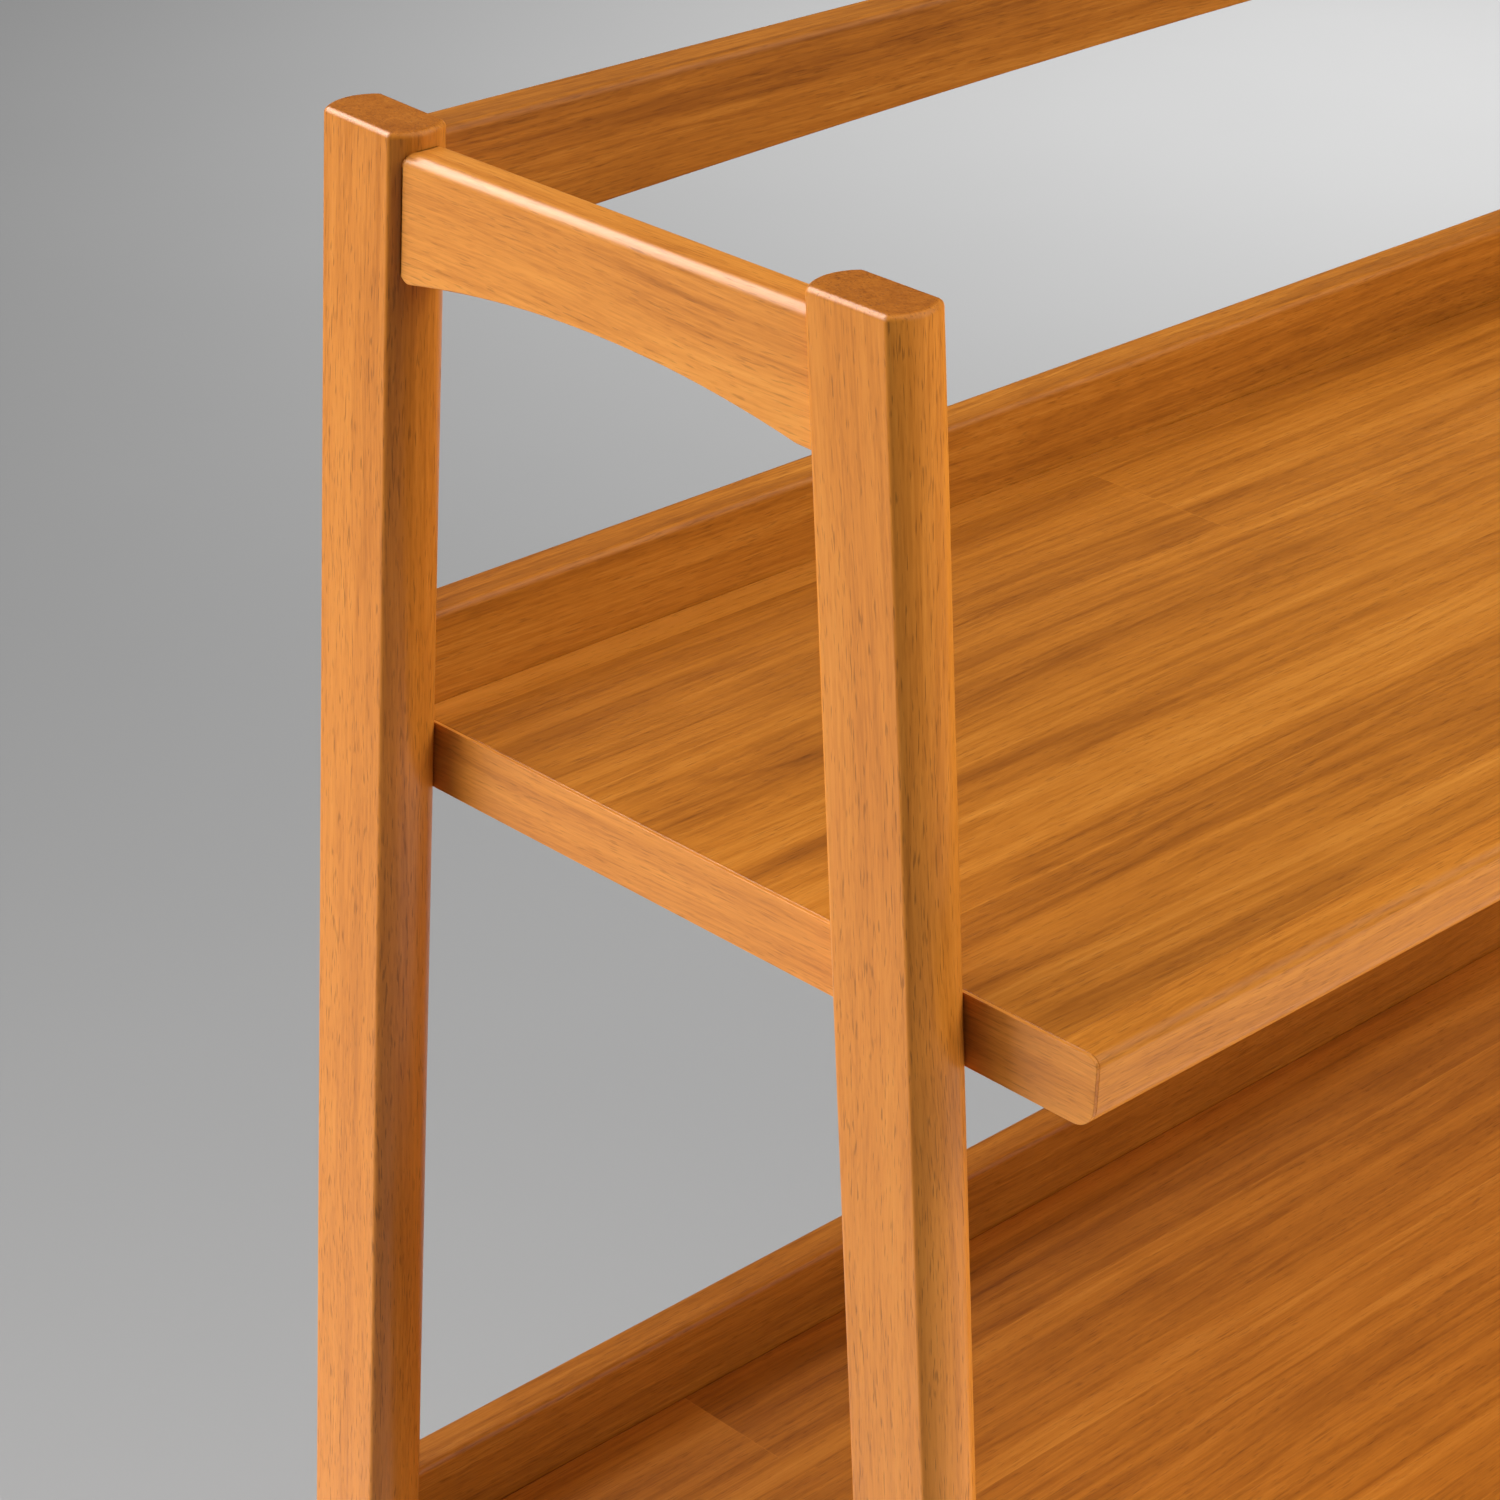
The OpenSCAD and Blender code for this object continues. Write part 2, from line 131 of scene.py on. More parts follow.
# Other looks
METAL_RELIEF = 0.01 * MM
NYLON_RELIEF = 0.04 * MM
SHARP_ANGLE = math.radians(50)
FLOOR_HALF = 30
FLOOR_TONES = ((0.40, 0.40, 0.40, 1), (0.42, 0.42, 0.42, 1))
WORLD_LIGHT = 0.05

# The photo's camera
LENS = 97.08
SENSOR = 36
YAW, PITCH, ROLL = math.radians(45.53), math.radians(26.67), math.radians(-1.924)
CAMERA_PLACE = (-1.29368, -0.79087, 2.34195)

# Places read from the CAD frame
POST_LOW, POST_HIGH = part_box("front_post_left")
REAR_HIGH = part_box("rear_post_left")[1]
POST_T = POST_HIGH.x - POST_LOW.x
POST_X = -(POST_LOW.x + POST_HIGH.x) / 2
INNER_X = -POST_HIGH.x
FOOT_Z = POST_LOW.z
FRONT_FOOT_Y = POST_LOW.y + POST_REACH / math.cos(FRONT_LEAN)
REAR_FOOT_Y = REAR_HIGH.y - POST_REACH / math.cos(REAR_LEAN)


def front_line(z):
    """Y of the front posts' centre line at height z."""
    return FRONT_FOOT_Y + (z - FOOT_Z) * math.tan(FRONT_LEAN)


def rear_line(z):
    """Y of the rear posts' centre line at height z."""
    return REAR_FOOT_Y - (z - FOOT_Z) * math.tan(REAR_LEAN)


# ---------- outlines, as (across, up) points in metres ----------

def arc(cx, cy, r, start, end, steps):
    """Points on an arc of a circle, from start to end in degrees."""
    turns = [math.radians(start + (end - start) * k / steps) for k in range(steps + 1)]
    return [(cx + r * math.cos(a), cy + r * math.sin(a)) for a in turns]


def bar(depth, height, low_near=EASED, low_far=EASED, top_far=EASED, top_near=EASED):
    """Anticlockwise section of a board, from its lower near corner, each corner with its own radius."""
    points = []
    corners = (
        (low_near, low_near, low_near, 180),
        (depth - low_far, low_far, low_far, 270),
        (depth - top_far, height - top_far, top_far, 0),
        (top_near, height - top_near, top_near, 90),
    )
    for cx, cy, r, start in corners:
        points += arc(cx, cy, r, start, start + 90, 3 if r < SMALL_EDGE else 8)
    return points


def crown_radius():
    """Radius of a post's crowned faces."""
    half = POST_T / 2
    return (half ** 2 + POST_CROWN ** 2) / (2 * POST_CROWN)


def post_reach(across):
    """How far a post's crowned face stands from its centre line, at a distance across from its middle."""
    r = crown_radius()
    return POST_REACH - r + math.sqrt(max(r ** 2 - across ** 2, 0))


def post_outline():
    """Section of a post: flat sides, crowned ends, softened corners."""
    crown_r = crown_radius()
    centre = POST_REACH - crown_r
    corner_x = POST_T / 2 - POST_CORNER
    corner_y = centre + math.sqrt((crown_r - POST_CORNER) ** 2 - corner_x ** 2)
    meet = math.degrees(math.atan2(corner_y - centre, corner_x))
    quarter = arc(corner_x, corner_y, POST_CORNER, 0, meet, 5) + arc(0, centre, crown_r, meet, 90, 14)[1:]
    rear = quarter + [(-x, y) for x, y in reversed(quarter[:-1])]
    return rear + [(-x, -y) for x, y in rear]


def inset(outline, distance):
    """The outline moved inwards along its own normals."""
    moved = []
    for k, (x, y) in enumerate(outline):
        normal = Vector((0, 0))
        for a, b in ((k - 1, k), (k, (k + 1) % len(outline))):
            side = Vector(outline[b]) - Vector(outline[a])
            normal += Vector((-side.y, side.x)).normalized()
        normal.normalize()
        moved.append((x + normal.x * distance, y + normal.y * distance))
    return moved


# ---------- meshes ----------

def end_rings(r):
    """(distance from the end, inset) of the rings that round an end over, from the end inwards."""
    steps = 3 if r < SMALL_EDGE else 7
    turns = [math.radians(90 * k / steps) for k in range(steps, -1, -1)]
    return [(r * (1 - math.sin(a)), r * (1 - math.cos(a))) for a in turns]


def loft(outline, start, end, start_round=EASED, end_round=EASED, middle=(), shape=None):
    """Bar along x. start and end give the x of its ends at a point (across, up) of its section, and
    middle lists shares of the length for rings in between. shape(x, to_end, across, up) bends a ring's
    point, where to_end is its distance from the bar's end."""
    mesh = bmesh.new()
    first = [(0, away, r) for away, r in end_rings(start_round)]
    last = [(1, -away, r) for away, r in reversed(end_rings(end_round))]
    rings = first + [(share, 0, 0) for share in middle] + last
    rows = []
    for share, away, r in rings:
        row = []
        for across, up in (inset(outline, r) if r else outline):
            low, high = start(across, up), end(across, up)
            x = low + (high - low) * share + away
            point = (across, up) if shape is None else shape(x, high - x, across, up)
            row.append(mesh.verts.new((x, *point)))
        rows.append(row)
    count = len(outline)
    for low, high in zip(rows, rows[1:]):
        for k in range(count):
            n = (k + 1) % count
            mesh.faces.new((low[k], low[n], high[n], high[k]))
    mesh.faces.new(rows[0][::-1])
    mesh.faces.new(rows[-1])
    bmesh.ops.recalc_face_normals(mesh, faces=mesh.faces)
    return mesh


def at(x):
    """An end that is square to the bar."""
    return lambda across, up: x


def level(x, lean):
    """A leaning bar's end that is level once the bar is in place."""
    return lambda across, up: x + math.tan(lean) * up


def make_object(name, mesh, placement):
    """Object in the row frame, from a mesh drawn along x."""
    mesh.transform(placement)
    data = bpy.data.meshes.new(name)
    mesh.to_mesh(data)
    mesh.free()
    made = bpy.data.objects.new(name, data)
    bpy.context.scene.collection.objects.link(made)
    return made


def drill(piece, holes):
    """Cuts round holes, each (centre of its mouth, direction inwards, radius, depth) in the row frame."""
    cutters = bmesh.new()
    for mouth, inwards, r, depth in holes:
        turn = Vector(inwards).to_track_quat("Z", "Y").to_matrix().to_4x4()
        length = depth + OVERSHOOT
        place = Matrix.Translation(Vector(mouth) + Vector(inwards) * (depth - OVERSHOOT) / 2) @ turn
        size = {"segments": HOLE_SIDES, "radius1": r, "radius2": r, "depth": length}
        bmesh.ops.create_cone(cutters, cap_ends=True, matrix=place, **size)
    data = bpy.data.meshes.new("cutters")
    cutters.to_mesh(data)
    cutters.free()
    tool = bpy.data.objects.new("cutters", data)
    bpy.context.scene.collection.objects.link(tool)
    modifier = piece.modifiers.new("holes", "BOOLEAN")
    modifier.operation = "DIFFERENCE"
    modifier.solver = "EXACT"
    modifier.object = tool
    bpy.context.view_layer.update()
    cut = bpy.data.meshes.new_from_object(piece.evaluated_get(bpy.context.evaluated_depsgraph_get()))
    piece.modifiers.clear()
    piece.data = cut
    bpy.data.objects.remove(tool)


def soften(piece):
    """Smooth shading that keeps flat faces flat and sharp edges sharp."""
    mesh = bmesh.new()
    mesh.from_mesh(piece.data)
    for face in mesh.faces:
        face.smooth = True
    for edge in mesh.edges:
        edge.smooth = len(edge.link_faces) == 2 and edge.calc_face_angle(0) < SHARP_ANGLE
    mesh.to_mesh(piece.data)
    mesh.free()
    modifier = piece.modifiers.new("flat faces stay flat", "WEIGHTED_NORMAL")
    modifier.keep_sharp = True
    modifier.weight = 100


def finish_piece(piece, material, node, body=FRAME_BODY):
    """Material, shading, body and the CAD node that the piece stands for."""
    piece.data.materials.clear()
    piece.data.materials.append(material)
    soften(piece)
    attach(piece, body)
    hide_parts(node)


def finish_wood(piece, placement, slot, node, material=None):
    """Finishes a wooden piece, and writes what its material reads: each point's place in its own log,
    with x along the grain, and how squarely each face cuts the grain."""
    to_log = Matrix.Translation(grain_start()) @ placement.inverted()
    places = [value for vertex in piece.data.vertices for value in to_log @ vertex.co]
    layer = piece.data.attributes.new(GRAIN, "FLOAT_VECTOR", "POINT")
    layer.data.foreach_set("vector", places)
    along = placement.to_3x3() @ Vector((1, 0, 0))
    cuts = [abs(face.normal.dot(along)) for face in piece.data.polygons]
    layer = piece.data.attributes.new(END_GRAIN, "FLOAT", "FACE")
    layer.data.foreach_set("value", cuts)
    finish_piece(piece, material or WOODS[slot], node)


# ---------- materials ----------

class Nodes:
    """Short calls for a material's node tree. A value is a number, a tuple or another node's output."""

    def __init__(self, name):
        self.material = bpy.data.materials.new(name)
        self.material.use_nodes = True
        self.tree = self.material.node_tree
        self.shader = self.tree.nodes["Principled BSDF"]

    def node(self, kind, inputs=None, **settings):
        made = self.tree.nodes.new(kind)
        for key, value in settings.items():
            setattr(made, key, value)
        for key, value in (inputs or {}).items():
            self.set(made.inputs[key], value)
        return made

    def set(self, socket, value):
        if isinstance(value, bpy.types.NodeSocket):
            self.tree.links.new(value, socket)
        else:
            socket.default_value = value

    def coordinates(self):
        return self.node("ShaderNodeTexCoord").outputs["Object"]

    def attribute(self, name, output="Vector"):
        return self.node("ShaderNodeAttribute", attribute_name=name).outputs[output]

    def math(self, operation, a, b=0.0, clamp=False):
        made = self.node("ShaderNodeMath", {0: a, 1: b}, operation=operation, use_clamp=clamp)
        return made.outputs[0]

    def vector(self, operation, a, b):
        return self.node("ShaderNodeVectorMath", {0: a, 1: b}, operation=operation).outputs[0]

    def noise(self, place, scale, detail=2.0, roughness=0.5, color=False):
        """Noise whose scale may differ along each axis."""
        scaled = self.vector("MULTIPLY", place, scale)
        inputs = {"Vector": scaled, "Scale": 1.0, "Detail": detail, "Roughness": roughness}
        made = self.node("ShaderNodeTexNoise", inputs)
        return made.outputs["Color" if color else "Fac"]

    def white(self, vector):
        return self.node("ShaderNodeTexWhiteNoise", {"Vector": vector}, noise_dimensions="3D").outputs

    def range(self, value, low, high, to_low=0.0, to_high=1.0, smooth=False):
        inputs = {"Value": value, "From Min": low, "From Max": high, "To Min": to_low, "To Max": to_high}
        kind = "SMOOTHSTEP" if smooth else "LINEAR"
        return self.node("ShaderNodeMapRange", inputs, interpolation_type=kind).outputs[0]

    def mix(self, factor, a, b, blend="MIX"):
        made = self.node("ShaderNodeMix", data_type="RGBA", blend_type=blend)
        self.set(made.inputs["Factor"], factor)
        self.set(made.inputs[6], a)
        self.set(made.inputs[7], b)
        return made.outputs[2]

    def ramp(self, factor, stops):
        made = self.node("ShaderNodeValToRGB", {"Fac": factor})
        ramp = made.color_ramp
        while len(ramp.elements) < len(stops):
            ramp.elements.new(0.5)
        for element, (place, color) in zip(ramp.elements, stops):
            element.position = place
            element.color = (*color, 1)
        return made.outputs["Color"]

    def combine(self, x, y, z):
        return self.node("ShaderNodeCombineXYZ", {"X": x, "Y": y, "Z": z}).outputs[0]

    def bump(self, height, distance):
        made = self.node("ShaderNodeBump", {"Height": height, "Distance": distance, "Strength": 1.0})
        self.set(self.shader.inputs["Normal"], made.outputs[0])


def planks(nodes, place, width, length):
    """Glued-up strips: (coordinates that jump from plank to plank, random tone, seam mask)."""
    parts = nodes.node("ShaderNodeSeparateXYZ", {0: place}).outputs
    across = nodes.math("DIVIDE", parts["Y"], width)
    strip = nodes.math("FLOOR", across)
    slip = nodes.white(nodes.combine(strip, 3.7, 0.0))["Value"]
    along = nodes.math("ADD", nodes.math("DIVIDE", parts["X"], length), nodes.math("MULTIPLY", slip, 5.0))
    plank = nodes.math("FLOOR", along)
    chance = nodes.white(nodes.combine(strip, plank, 1.3))
    moved = nodes.vector("ADD", place, nodes.vector("MULTIPLY", chance["Color"], (3.1, 0.7, 0.4)))
    seams = []
    for position, size in ((across, width), (along, length)):
        edge = nodes.math("ABSOLUTE", nodes.math("SUBTRACT", nodes.math("FRACT", position), 0.5))
        half_line = SEAM_WIDTH / 2 / size
        seams.append(nodes.range(edge, 0.5 - half_line, 0.5 - half_line / 3))
    return moved, chance["Value"], nodes.math("MAXIMUM", *seams)


def wood(name, stops, contrast=1.0, fibre=1.0, pore_depth=0.3, strips=None, own_grain=True):
    """Lacquered open-pored wood, its grain along x. stops are the tones from dark to light, and strips
    is the (width, length) of glued-up planks. Without own_grain, the grain runs along the row's x axis
    and no face counts as end grain."""
    nodes = Nodes(name)
    place = nodes.attribute(GRAIN) if own_grain else nodes.coordinates()
    if strips:
        place, chance, seam = planks(nodes, place, *strips)
    drift = nodes.noise(place, (2.2, 9, 9), 2, color=True)
    drift = nodes.vector("SUBTRACT", drift, (0.5, 0.5, 0.5))
    drift = nodes.vector("MULTIPLY", drift, (0, GRAIN_DRIFT, GRAIN_DRIFT))
    bent = nodes.vector("ADD", place, drift)

    figure = nodes.noise(bent, (1.0, 27, 27), 2, 0.55)
    streak = nodes.noise(bent, (2.6, 115, 115), 3, 0.6)
    strand = nodes.noise(bent, (10, 430, 430), 2, 0.6)
    hair = nodes.noise(bent, (38, 1350, 1350), 2, 0.6)
    ripple = nodes.noise(place, (26, 9, 9), 2, 0.5)
    ring = nodes.noise(bent, (0.9, 34, 34), 1, 0.5)
    ring = nodes.math("FRACT", nodes.math("MULTIPLY", ring, 9.0))
    ring = nodes.math("ABSOLUTE", nodes.math("SUBTRACT", ring, 0.5))
    ring = nodes.range(ring, 0.0, 0.13, 1.0, 0.0, smooth=True)
    fleck = nodes.noise(bent, (105, 850, 850), 1, 0.5)
    fleck = nodes.range(fleck, 0.5, 0.68, smooth=True)
    tone = nodes.math("MULTIPLY", nodes.math("SUBTRACT", figure, 0.5), FIGURE_WEIGHT * contrast)
    tone = nodes.math("SUBTRACT", tone, nodes.math("MULTIPLY", ring, RING_WEIGHT * contrast))
    tone = nodes.math("SUBTRACT", tone, nodes.math("MULTIPLY", fleck, FLECK_WEIGHT * fibre))
    shades = [
        (streak, STREAK_WEIGHT * contrast),
        (strand, STRAND_WEIGHT * fibre * contrast),
        (hair, HAIR_WEIGHT * fibre * contrast),
        (ripple, RIPPLE_WEIGHT * contrast),
    ]
    if strips:
        shades.append((chance, STRIP_WEIGHT))
    for part, weight in shades:
        extra = nodes.math("MULTIPLY", nodes.math("SUBTRACT", part, 0.5), weight)
        tone = nodes.math("ADD", tone, extra)
    tone = nodes.math("ADD", tone, MIDDLE_TONE, clamp=True)
    color = nodes.ramp(tone, stops)

    pores = nodes.noise(bent, (120, 1500, 1500), 1, 0.5)
    where = nodes.noise(bent, (9, 120, 120), 2, 0.5)
    pores = nodes.range(nodes.math("ADD", pores, nodes.math("MULTIPLY", where, 0.25)), 0.73, 0.86)
    dark = tuple(c * 0.42 for c in stops[0][1])
    color = nodes.mix(nodes.math("MULTIPLY", pores, pore_depth), color, (*dark, 1))
    if strips:
        glow = tuple(min(1, c * 1.12) for c in stops[-1][1])
        color = nodes.mix(nodes.math("MULTIPLY", seam, SEAM_WEIGHT), color, (*glow, 1))
    if own_grain:
        cut = nodes.range(nodes.attribute(END_GRAIN, "Fac"), 0.8, 0.98)
        speckle = nodes.noise(bent, (300, 900, 900), 2, 0.6)
        shade = nodes.mix(speckle, *END_GRAIN_SHADES)
        color = nodes.mix(cut, color, nodes.mix(1.0, color, shade, blend="MULTIPLY"))
    nodes.set(nodes.shader.inputs["Base Color"], color)

    roughness = nodes.range(strand, 0.3, 0.7, 0.36, 0.46)
    roughness = nodes.math("ADD", roughness, nodes.math("MULTIPLY", pores, 0.12))
    nodes.set(nodes.shader.inputs["Roughness"], roughness)
    for key, value in LACQUER.items():
        nodes.set(nodes.shader.inputs[key], value)
    height = nodes.math("SUBTRACT", nodes.math("MULTIPLY", strand, 0.5), nodes.math("MULTIPLY", pores, 0.7))
    nodes.bump(height, WOOD_RELIEF)
    return nodes.material


def metal(name, color, roughness):
    """Plated or passivated steel with fine turning marks and slight clouding."""
    nodes = Nodes(name)
    place = nodes.coordinates()
    cloud = nodes.noise(place, (160, 160, 160), 3, 0.6)
    marks = nodes.noise(place, (900, 900, 5200), 2, 0.6)
    shade = tuple(c * 0.72 for c in color)
    nodes.set(nodes.shader.inputs["Base Color"], nodes.mix(cloud, (*shade, 1), (*color, 1)))
    nodes.shader.inputs["Metallic"].default_value = 1.0
    nodes.set(nodes.shader.inputs["Roughness"], nodes.range(cloud, 0.3, 0.7, roughness, roughness + 0.15))
    nodes.bump(marks, METAL_RELIEF)
    return nodes.material


def moulded(name, color):
    """Moulded nylon: fine spark-eroded grain with rubbed patches."""
    nodes = Nodes(name)
    place = nodes.coordinates()
    grain = nodes.noise(place, (2600, 2600, 2600), 2, 0.6)
    rubbed = nodes.noise(place, (90, 90, 90), 3, 0.6)
    light = tuple(min(1, c * 1.7 + 0.01) for c in color)
    nodes.set(nodes.shader.inputs["Base Color"], nodes.mix(rubbed, (*color, 1), (*light, 1)))
    nodes.set(nodes.shader.inputs["Roughness"], nodes.range(rubbed, 0.3, 0.7, 0.42, 0.62))
    nodes.bump(grain, NYLON_RELIEF)
    return nodes.material


FRAME_TONES = [
    (0.0, (0.30, 0.080, 0.006)),
    (0.38, (0.53, 0.168, 0.015)),
    (0.62, (0.66, 0.225, 0.024)),
    (1.0, (0.78, 0.310, 0.045)),
]
TRAY_TONES = [
    (0.0, (0.18, 0.047, 0.003)),
    (0.35, (0.35, 0.108, 0.008)),
    (0.6, (0.49, 0.164, 0.014)),
    (1.0, (0.66, 0.255, 0.032)),
]
LIP_TONES = [
    (0.0, (0.20, 0.053, 0.004)),
    (0.4, (0.37, 0.115, 0.009)),
    (0.65, (0.49, 0.163, 0.014)),
    (1.0, (0.64, 0.245, 0.030)),
]
PALE_TONES = [
    (0.0, (0.35, 0.100, 0.009)),
    (0.38, (0.60, 0.203, 0.022)),
    (0.62, (0.73, 0.270, 0.035)),
    (1.0, (0.84, 0.360, 0.062)),
]
NOSING_TONES = [
    (0.0, (0.24, 0.064, 0.004)),
    (0.38, (0.45, 0.142, 0.011)),
    (0.62, (0.58, 0.197, 0.018)),
    (1.0, (0.72, 0.285, 0.036)),
]
BEECH_TONES = [(0.0, (0.42, 0.26, 0.12)), (0.5, (0.6, 0.42, 0.23)), (1.0, (0.72, 0.55, 0.34))]

WOODS = {
    "frame_wood": wood("frame wood", FRAME_TONES, contrast=0.65, pore_depth=0.5),
    "shelf_wood": wood("shelf wood", TRAY_TONES, contrast=1.05, fibre=0.6, strips=TRAY_STRIP),
    "nosing_wood": wood("nosing wood", NOSING_TONES, contrast=0.85),
    "lip_wood": wood("lip wood", LIP_TONES, contrast=1.0),
    "band_wood": wood("band wood", PALE_TONES, contrast=0.75),
}
BEECH = wood("beech dowel", BEECH_TONES, contrast=0.7, own_grain=False)
ZINC = metal("zinc plate", (0.62, 0.63, 0.64), 0.28)
STEEL = metal("passivated steel", (0.36, 0.37, 0.39), 0.34)
NYLON = moulded("moulded nylon", (0.028, 0.017, 0.011))
HARDWARE = {"beech": BEECH, "zinc": ZINC, "insert_steel": STEEL, "nylon": NYLON}


# ---------- pieces ----------

draw = random.Random(7)


def grain_start():
    """Where along and across its log a board is cut."""
    return Vector((draw.uniform(-9, 9), draw.uniform(-0.9, 0.9), draw.uniform(-0.9, 0.9)))


def side_placement(origin):
    """Grain towards the rear, the section's first axis to the left."""
    turn = Matrix(((0, -1, 0), (1, 0, 0), (0, 0, 1))).to_4x4()
    return Matrix.Translation(origin) @ turn


def post(name, side, foot_y, lean):
    """A leaning post with a level foot. A front post's top is level too, a rear post's is square."""
    low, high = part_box(name)
    along = Vector((0, math.sin(lean), math.cos(lean)))
    across = Vector((1, 0, 0))
    turn = Matrix((along, across, along.cross(across))).transposed().to_4x4()
    placement = Matrix.Translation((side * POST_X, foot_y, FOOT_Z)) @ turn
    if lean > 0:
        top = level((high.z - low.z) / math.cos(lean), lean)
    else:
        top = at((high.z - low.z - POST_REACH * math.sin(-lean)) / math.cos(lean))
    stations = [k / 12 for k in range(1, 12)]
    mesh = loft(post_outline(), level(0, lean), top, end_round=POST_TOP_ROUND, middle=stations)
    made = make_object(name + "_wood", mesh, placement)
    foot = (side * POST_X, foot_y, FOOT_Z)
    drill(made, [(foot, (0, 0, 1), INSERT_R, INSERT_DEPTH)])
    drill(made, [(foot, (0, 0, 1), STEM_HOLE_R, STEM_HOLE_DEPTH)])
    finish_wood(made, placement, "frame_wood", name)


def side_rail(name, side):
    """Top rail between a rear and a front post, coped to their crowned faces, with an arch below that
    ends in a rounded corner at the rear."""
    low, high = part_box(name)
    thick, height = high.x - low.x, high.z - low.z
    rear = rear_line(high.z) - front_line(high.z)
    origin = (side * POST_X + thick / 2, front_line(high.z), low.z)

    def front_end(across, up):
        centre = -(height - up) * math.tan(FRONT_LEAN)
        return centre + post_reach(across - thick / 2) / math.cos(FRONT_LEAN)

    def rear_end(across, up):
        centre = rear + (height - up) * math.tan(REAR_LEAN)
        return centre - post_reach(across - thick / 2) / math.cos(REAR_LEAN)

    first, last = front_end(thick / 2, height), rear_end(thick / 2, height)
    middle = (first + last) / 2
    half = (last - first) / 2

    def arched(x, to_end, across, up):
        off = (x - middle) / half
        rise = SIDE_ARCH * max(1 - off ** 2, 0)
        in_corner = RAIL_CORNER - min(max(to_end, 0), RAIL_CORNER)
        rise += RAIL_CORNER - math.sqrt(RAIL_CORNER ** 2 - in_corner ** 2)
        return across, up + rise * max(1 - up / (height / 2), 0)

    corner = [1 - RAIL_CORNER * k / (last - first) for k in (1.0, 0.7, 0.45, 0.25, 0.12)]
    stations = [k / 24 for k in range(1, 24)] + corner
    outline = bar(thick, height, ARCH_EDGE, ARCH_EDGE, RAIL_TOP_ROUND, RAIL_TOP_ROUND)
    mesh = loft(outline, front_end, rear_end, RAIL_JOINT, RAIL_JOINT, middle=stations, shape=arched)
    placement = side_placement(origin)
    made = make_object(name + "_wood", mesh, placement)
    finish_wood(made, placement, "frame_wood", name, material=WOODS["band_wood"])


def cam_pockets(x, y, z, way):
    """The pockets of a pair of cam fittings, for drill()."""
    return [((s * x, y, z), way, CAM_POCKET_R, CAM_POCKET_DEPTH) for s in (-1, 1)]


def back_rail():
    """Top rail at the rear, arched below, with its cam pockets behind."""
    low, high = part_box("back_rail")
    depth, height = high.y - low.y, high.z - low.z

    def arched(x, to_end, across, up):
        rise = BACK_ARCH * max(1 - (x / high.x) ** 2, 0)
        return across, up + rise * max(1 - up / (height / 2), 0)

    outline = bar(depth, height, ARCH_EDGE, ARCH_EDGE, EDGE_ROUND, EDGE_ROUND)
    stations = [k / 32 for k in range(1, 32)]
    mesh = loft(outline, at(low.x), at(high.x), middle=stations, shape=arched)
    placement = Matrix.Translation((0, low.y, low.z))
    made = make_object("back_rail_wood", mesh, placement)
    drill(made, cam_pockets(INNER_X - CAM_REACH, high.y, high.z - RAIL_CAM_DROP, (0, -1, 0)))
    finish_wood(made, placement, "frame_wood", "back_rail", material=WOODS["lip_wood"])


def shelf_board(node, outline, slot, holes=()):
    """A board along a shelf, as long as its CAD node and in its place."""
    low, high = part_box(node)
    mesh = loft(outline, at(low.x), at(high.x), middle=[k / 8 for k in range(1, 8)])
    placement = Matrix.Translation((0, low.y, low.z))
    made = make_object(node + "_wood", mesh, placement)
    if holes:
        drill(made, holes)
    finish_wood(made, placement, slot, node)


def shelf(i):
    """Panel, nosing and raised lip of one shelf. The nosing's tongue is hidden, so it is left out."""
    panel_low, panel_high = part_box(f"shelf_panel_{i}")
    nosing_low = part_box(f"shelf_nosing_{i}")[0]
    lip_low, lip_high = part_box(f"shelf_lip_{i}")
    thick = panel_high.z - panel_low.z
    cam_x = INNER_X - CAM_REACH
    cam_y = front_line(panel_low.z + CAM_UP) - CAM_STEP
    panel = bar(panel_high.y - panel_low.y, thick, top_far=LIP_JOINT, top_near=GLUED_EDGE)
    shelf_board(f"shelf_panel_{i}", panel, "shelf_wood", cam_pockets(cam_x, cam_y, panel_low.z, (0, 0, 1)))
    nosing = bar(panel_low.y - nosing_low.y, thick, NOSING_LOW_ROUND, EASED, GLUED_EDGE, NOSING_TOP_ROUND)
    shelf_board(f"shelf_nosing_{i}", nosing, "nosing_wood")
    lip_z = panel_high.z - LIP_CAM_DROP
    lip = bar(lip_high.y - lip_low.y, lip_high.z - lip_low.z, EASED, EDGE_ROUND, EDGE_ROUND, EDGE_ROUND)
    shelf_board(f"shelf_lip_{i}", lip, "lip_wood", cam_pockets(cam_x, lip_high.y, lip_z, (0, -1, 0)))


def end_bands():
    """Bands over the ends of every shelf's panel and nosing, their grain running to the rear."""
    whole = bmesh.new()
    for i in SHELVES:
        low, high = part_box(f"shelf_nosing_{i}")
        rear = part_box(f"shelf_panel_{i}")[1].y
        thick = high.z - low.z
        band = INNER_X - high.x
        for s in (-1, 1):
            profile = bar(rear - low.y, thick, NOSING_LOW_ROUND, EASED, EASED, NOSING_TOP_ROUND)
            start = s * (INNER_X - band / 2) - band / 2
            piece = loft(profile, at(start), at(start + band), BAND_EDGE, BAND_EDGE)
            bmesh.ops.translate(piece, verts=piece.verts, vec=(0, low.y, low.z))
            data = bpy.data.meshes.new("band")
            piece.to_mesh(data)
            piece.free()
            whole.from_mesh(data)
            bpy.data.meshes.remove(data)
    made = make_object("shelf_end_bands_wood", whole, Matrix.Identity(4))
    finish_wood(made, side_placement((0, 0, 0)), "band_wood", "shelf_end_bands")


def place_on(r, turn, z):
    """Point at a radius, a share of a turn and a height."""
    return r * math.cos(math.tau * turn), r * math.sin(math.tau * turn), z


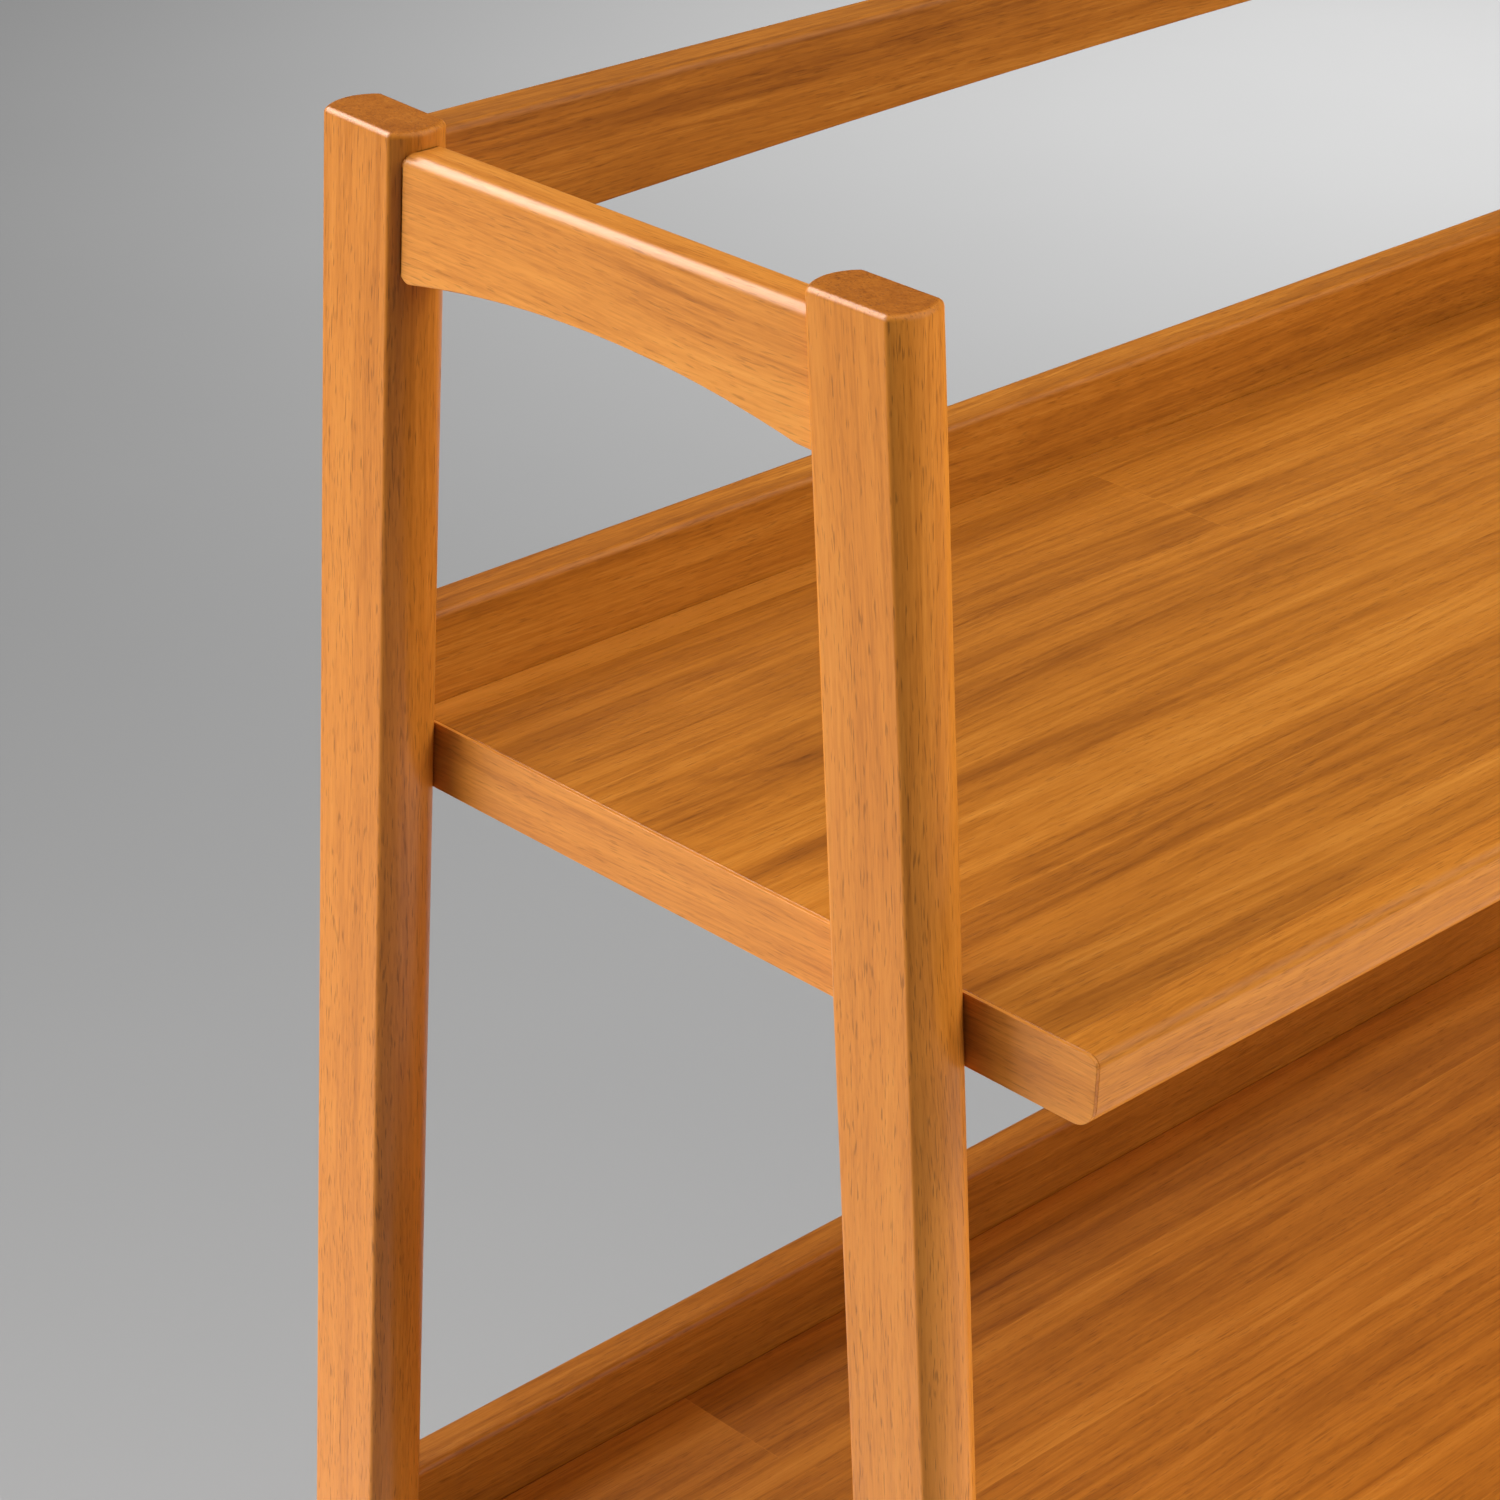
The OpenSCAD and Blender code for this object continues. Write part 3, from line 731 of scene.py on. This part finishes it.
def threaded_stem(foot):
    """Levelling foot's stem: a right-hand thread on a round head."""
    node = f"foot_stem_{foot}"
    low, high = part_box(node)
    centre = (low + high) / 2
    around = THREAD_AROUND
    length = high.z - low.z - STEM_HEAD_H
    rings = int(length / THREAD_PITCH * THREAD_RINGS)
    mesh = bmesh.new()
    head = (
        (STEM_HEAD_R - HEAD_LOW_EDGE, 0),
        (STEM_HEAD_R, HEAD_LOW_EDGE),
        (STEM_HEAD_R, STEM_HEAD_H - HEAD_TOP_EDGE),
        (STEM_HEAD_R - HEAD_TOP_EDGE, STEM_HEAD_H),
    )
    rows = [[mesh.verts.new(place_on(r, k / around, z)) for k in range(around)] for r, z in head]
    for n in range(rings + 1):
        z = length * n / rings
        row = []
        for k in range(around):
            phase = (z / THREAD_PITCH - k / around) % 1
            crest = min(1, CREST_WIDTH * abs(2 * phase - 1))
            taper = max(0, z - length + THREAD_PITCH) * TIP_TAPER
            r = STEM_R - THREAD_DEPTH * (1 - crest) - taper
            row.append(mesh.verts.new(place_on(r, k / around, STEM_HEAD_H + z)))
        rows.append(row)
    for lower, upper in zip(rows, rows[1:]):
        for k in range(around):
            n = (k + 1) % around
            mesh.faces.new((lower[k], lower[n], upper[n], upper[k]))
    mesh.faces.new(rows[0][::-1])
    mesh.faces.new(rows[-1])
    bmesh.ops.recalc_face_normals(mesh, faces=mesh.faces)
    placement = Matrix.Translation((centre.x, centre.y, low.z))
    made = make_object(node + "_thread", mesh, placement)
    finish_piece(made, ZINC, node, body=f"stem_{foot}")


for side_name, side in SIDES.items():
    post(f"rear_post_{side_name}", side, REAR_FOOT_Y, -REAR_LEAN)
    post(f"front_post_{side_name}", side, FRONT_FOOT_Y, FRONT_LEAN)
    side_rail(f"side_rail_{side_name}", side)
back_rail()
for i in SHELVES:
    shelf(i)
end_bands()
for foot in FEET:
    threaded_stem(foot)

for subpart in frame["record"]["subparts"]:
    slot, node = subpart["material_slot"], frame["nodes"][subpart["node"]]
    if slot in HARDWARE:
        node.data.materials.clear()
        node.data.materials.append(HARDWARE[slot])


# ---------- floor, lights and camera ----------

def floor():
    """Plain pale floor."""
    mesh = bmesh.new()
    bmesh.ops.create_grid(mesh, x_segments=1, y_segments=1, size=FLOOR_HALF)
    data = bpy.data.meshes.new("floor")
    mesh.to_mesh(data)
    mesh.free()
    made = bpy.data.objects.new("floor", data)
    bpy.context.scene.collection.objects.link(made)
    nodes = Nodes("floor paint")
    cloud = nodes.noise(nodes.coordinates(), (1.3, 1.3, 1.3), 3)
    nodes.set(nodes.shader.inputs["Base Color"], nodes.mix(cloud, *FLOOR_TONES))
    nodes.shader.inputs["Roughness"].default_value = 0.85
    data.materials.append(nodes.material)


def softbox(name, place, aim, size, radiance, glossy=True, diffuse=True):
    """Rectangular area light of a given radiance, for gloss, for diffuse light or for both."""
    data = bpy.data.lights.new(name, "AREA")
    data.shape = "RECTANGLE"
    data.size, data.size_y = size
    data.energy = radiance * math.pi * size[0] * size[1]
    made = bpy.data.objects.new(name, data)
    made.location = place
    made.rotation_mode = "QUATERNION"
    made.rotation_quaternion = (Vector(place) - Vector(aim)).to_track_quat("Z", "Y")
    made.visible_camera = False
    made.visible_glossy = glossy
    made.visible_diffuse = diffuse
    bpy.context.scene.collection.objects.link(made)


def studio():
    """Large key from the rear left with its shine, soft fill from the front, above and low on the left,
    light thrown up by a bright floor in front, and a pool of light on the floor behind."""
    corner = Vector((-0.35, 0, 1.5))
    key_way = Vector((-0.55, 0.62, 0.56)).normalized()
    front_way = Vector((0.6, -0.75, 0.28)).normalized()
    top_way = Vector((0.45, -0.42, 0.79)).normalized()
    softbox("key", corner + key_way * 3.0, corner, (3.2, 3.2), 3.5, glossy=False)
    for k, way in enumerate([(-0.5, 0.63, 0.57), (-0.15, 0.63, 0.76)]):
        softbox(f"shine_{k}", corner + Vector(way) * 2.9, corner, (1.3, 1.3), 8.5, diffuse=False)
    softbox("front_fill", corner + front_way * 3.6, corner, (3.0, 3.0), 1.3, glossy=False)
    softbox("top_fill", corner + top_way * 3.2, corner, (3.0, 3.0), 3.4, glossy=False)
    softbox("left_fill", (-1.8, 1.6, 0.75), (-0.48, 0, 1.0), (1.4, 1.4), 6.8, glossy=False)
    softbox("floor_glow", (1.0, -1.6, 0.05), (1.0, -1.6, 1), (3.2, 2.6), 4.2, glossy=False)
    softbox("floor_light", (5.4, 3.4, 3.4), (5.4, 3.4, 0), (2.6, 2.6), 11.0, glossy=False)
    world = bpy.data.worlds.new("studio")
    world.use_nodes = True
    world.node_tree.nodes["Background"].inputs["Color"].default_value = (1, 1, 1, 1)
    world.node_tree.nodes["Background"].inputs["Strength"].default_value = WORLD_LIGHT
    bpy.context.scene.world = world


def camera():
    """Close view of the upper left corner from the left front, looking down, with a long lens."""
    ahead = Vector((math.sin(YAW) * math.cos(PITCH), math.cos(YAW) * math.cos(PITCH), -math.sin(PITCH)))
    sideways = Vector((math.cos(YAW), -math.sin(YAW), 0))
    right = sideways * math.cos(ROLL) + ahead.cross(sideways) * math.sin(ROLL)
    data = bpy.data.cameras.new("camera")
    data.lens = LENS
    data.sensor_width = SENSOR
    data.clip_start, data.clip_end = 0.1, 100
    made = bpy.data.objects.new("camera", data)
    turn = Matrix((right, ahead.cross(right) * -1, -ahead)).transposed()
    made.matrix_world = Matrix.Translation(CAMERA_PLACE) @ turn.to_4x4()
    bpy.context.scene.collection.objects.link(made)
    bpy.context.scene.camera = made


floor()
studio()
camera()
bpy.context.scene.view_settings.view_transform = "Standard"
